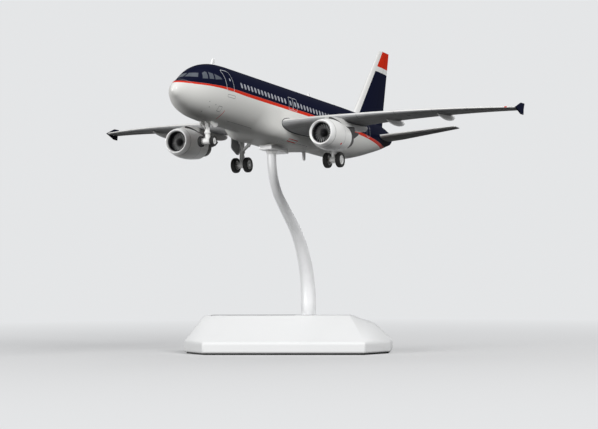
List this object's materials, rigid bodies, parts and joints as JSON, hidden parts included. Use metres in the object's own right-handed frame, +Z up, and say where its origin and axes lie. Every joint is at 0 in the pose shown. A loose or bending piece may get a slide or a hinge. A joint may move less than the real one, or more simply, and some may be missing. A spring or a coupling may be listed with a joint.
{
  "type": "display model airliner",
  "caption": "Twin-engined low-wing model airliner with its wheels down, held nose-up on a swept metal post over a low faceted base with a bare plate.",
  "frame": {"origin": "where the post's swivel axis meets the surface that the base stands on", "axes": "+X towards the aircraft's nose, +Y to port, +Z up along the swivel axis; the base's long side is turned 20.5 degrees from the wings, and the aircraft leans 1.7 degrees to starboard on its peg, as in the picture"},
  "size_m": [0.1854, 0.171, 0.1197],
  "materials": {
    "fuselage": "gloss paint, dark upper half over a light belly with a red line between them",
    "wings": "satin grey paint with a white leading edge",
    "fences": "gloss dark blue paint",
    "fin": "gloss dark blue paint with a plain red block and a white edge",
    "tailplanes": "satin grey paint",
    "pylons": "satin light grey paint",
    "cowls": "gloss light grey",
    "inlet_lips": "gloss white",
    "cores": "matte dark grey",
    "fans": "dark blades with light edges",
    "legs": "satin light grey paint",
    "gear_doors": "satin light paint",
    "axles": "plain steel pin",
    "hubs": "white moulded hub",
    "tyres": "matte black rubber",
    "aerials": "white",
    "stand_head": "gloss white",
    "stand_peg": "plain steel pin",
    "post": "satin metal",
    "post_screw": "zinc plated",
    "base_shell": "gloss white",
    "base_weight": "bare cast weight",
    "base_plate": "satin plain plate",
    "base_sheet": "matte black"
  },
  "bodies": {
    "base": {"base_shell": "base_shell", "base_weight": "base_weight", "base_plate": "base_plate", "base_sheet": "base_sheet"},
    "post": {"post": "post", "post_screw": "post_screw", "stand_head": "stand_head", "stand_peg": "stand_peg"},
    "airframe": {"fuselage": "fuselage", "port_wing": "wings", "starboard_wing": "wings", "port_fence": "fences", "starboard_fence": "fences", "fin": "fin", "port_tailplane": "tailplanes", "starboard_tailplane": "tailplanes", "port_pylon": "pylons", "starboard_pylon": "pylons", "port_cowl": "cowls", "starboard_cowl": "cowls", "port_inlet_lip": "inlet_lips", "starboard_inlet_lip": "inlet_lips", "port_core": "cores", "starboard_core": "cores", "nose_leg": "legs", "nose_doors": "gear_doors", "port_leg": "legs", "starboard_leg": "legs", "port_door": "gear_doors", "starboard_door": "gear_doors", "front_aerial": "aerials", "rear_aerial": "aerials", "aft_aerial": "aerials", "belly_aerial_blade": "aerials"},
    "nose_wheels": {"nose_axle": "axles", "nose_hubs": "hubs", "nose_tyres": "tyres"},
    "port_wheels": {"port_axle": "axles", "port_hubs": "hubs", "port_tyres": "tyres"},
    "starboard_wheels": {"starboard_axle": "axles", "starboard_hubs": "hubs", "starboard_tyres": "tyres"},
    "port_fan": {"port_fan": "fans"},
    "starboard_fan": {"starboard_fan": "fans"}
  },
  "joints": [
    {"name": "base_swivel", "type": "hinge", "parent": "base", "child": "post", "pos_m": [0, 0, 0.0102], "axis": [0, 0, 1], "continuous": true},
    {"name": "lift_off", "type": "slide", "parent": "post", "child": "airframe", "axis": [-0.0871, -0.0297, 0.9958], "range_m": [0, 0.012]},
    {"name": "nose_wheel_roll", "type": "hinge", "parent": "airframe", "child": "nose_wheels", "pos_m": [0.0808, 0.00013, 0.07643], "axis": [-0.0026, 0.9996, 0.0296], "continuous": true},
    {"name": "port_wheel_roll", "type": "hinge", "parent": "airframe", "child": "port_wheels", "pos_m": [0.01787, 0.01907, 0.07169], "axis": [-0.0026, 0.9996, 0.0296], "continuous": true},
    {"name": "starboard_wheel_roll", "type": "hinge", "parent": "airframe", "child": "starboard_wheels", "pos_m": [0.01797, -0.01882, 0.07057], "axis": [-0.0026, 0.9996, 0.0296], "continuous": true},
    {"name": "port_fan_spin", "type": "hinge", "parent": "airframe", "child": "port_fan", "pos_m": [0.04656, 0.02895, 0.07991], "axis": [0.9962, 0, 0.0872], "continuous": true},
    {"name": "starboard_fan_spin", "type": "hinge", "parent": "airframe", "child": "starboard_fan", "pos_m": [0.04671, -0.02902, 0.0782], "axis": [0.9962, 0, 0.0872], "continuous": true}
  ]
}
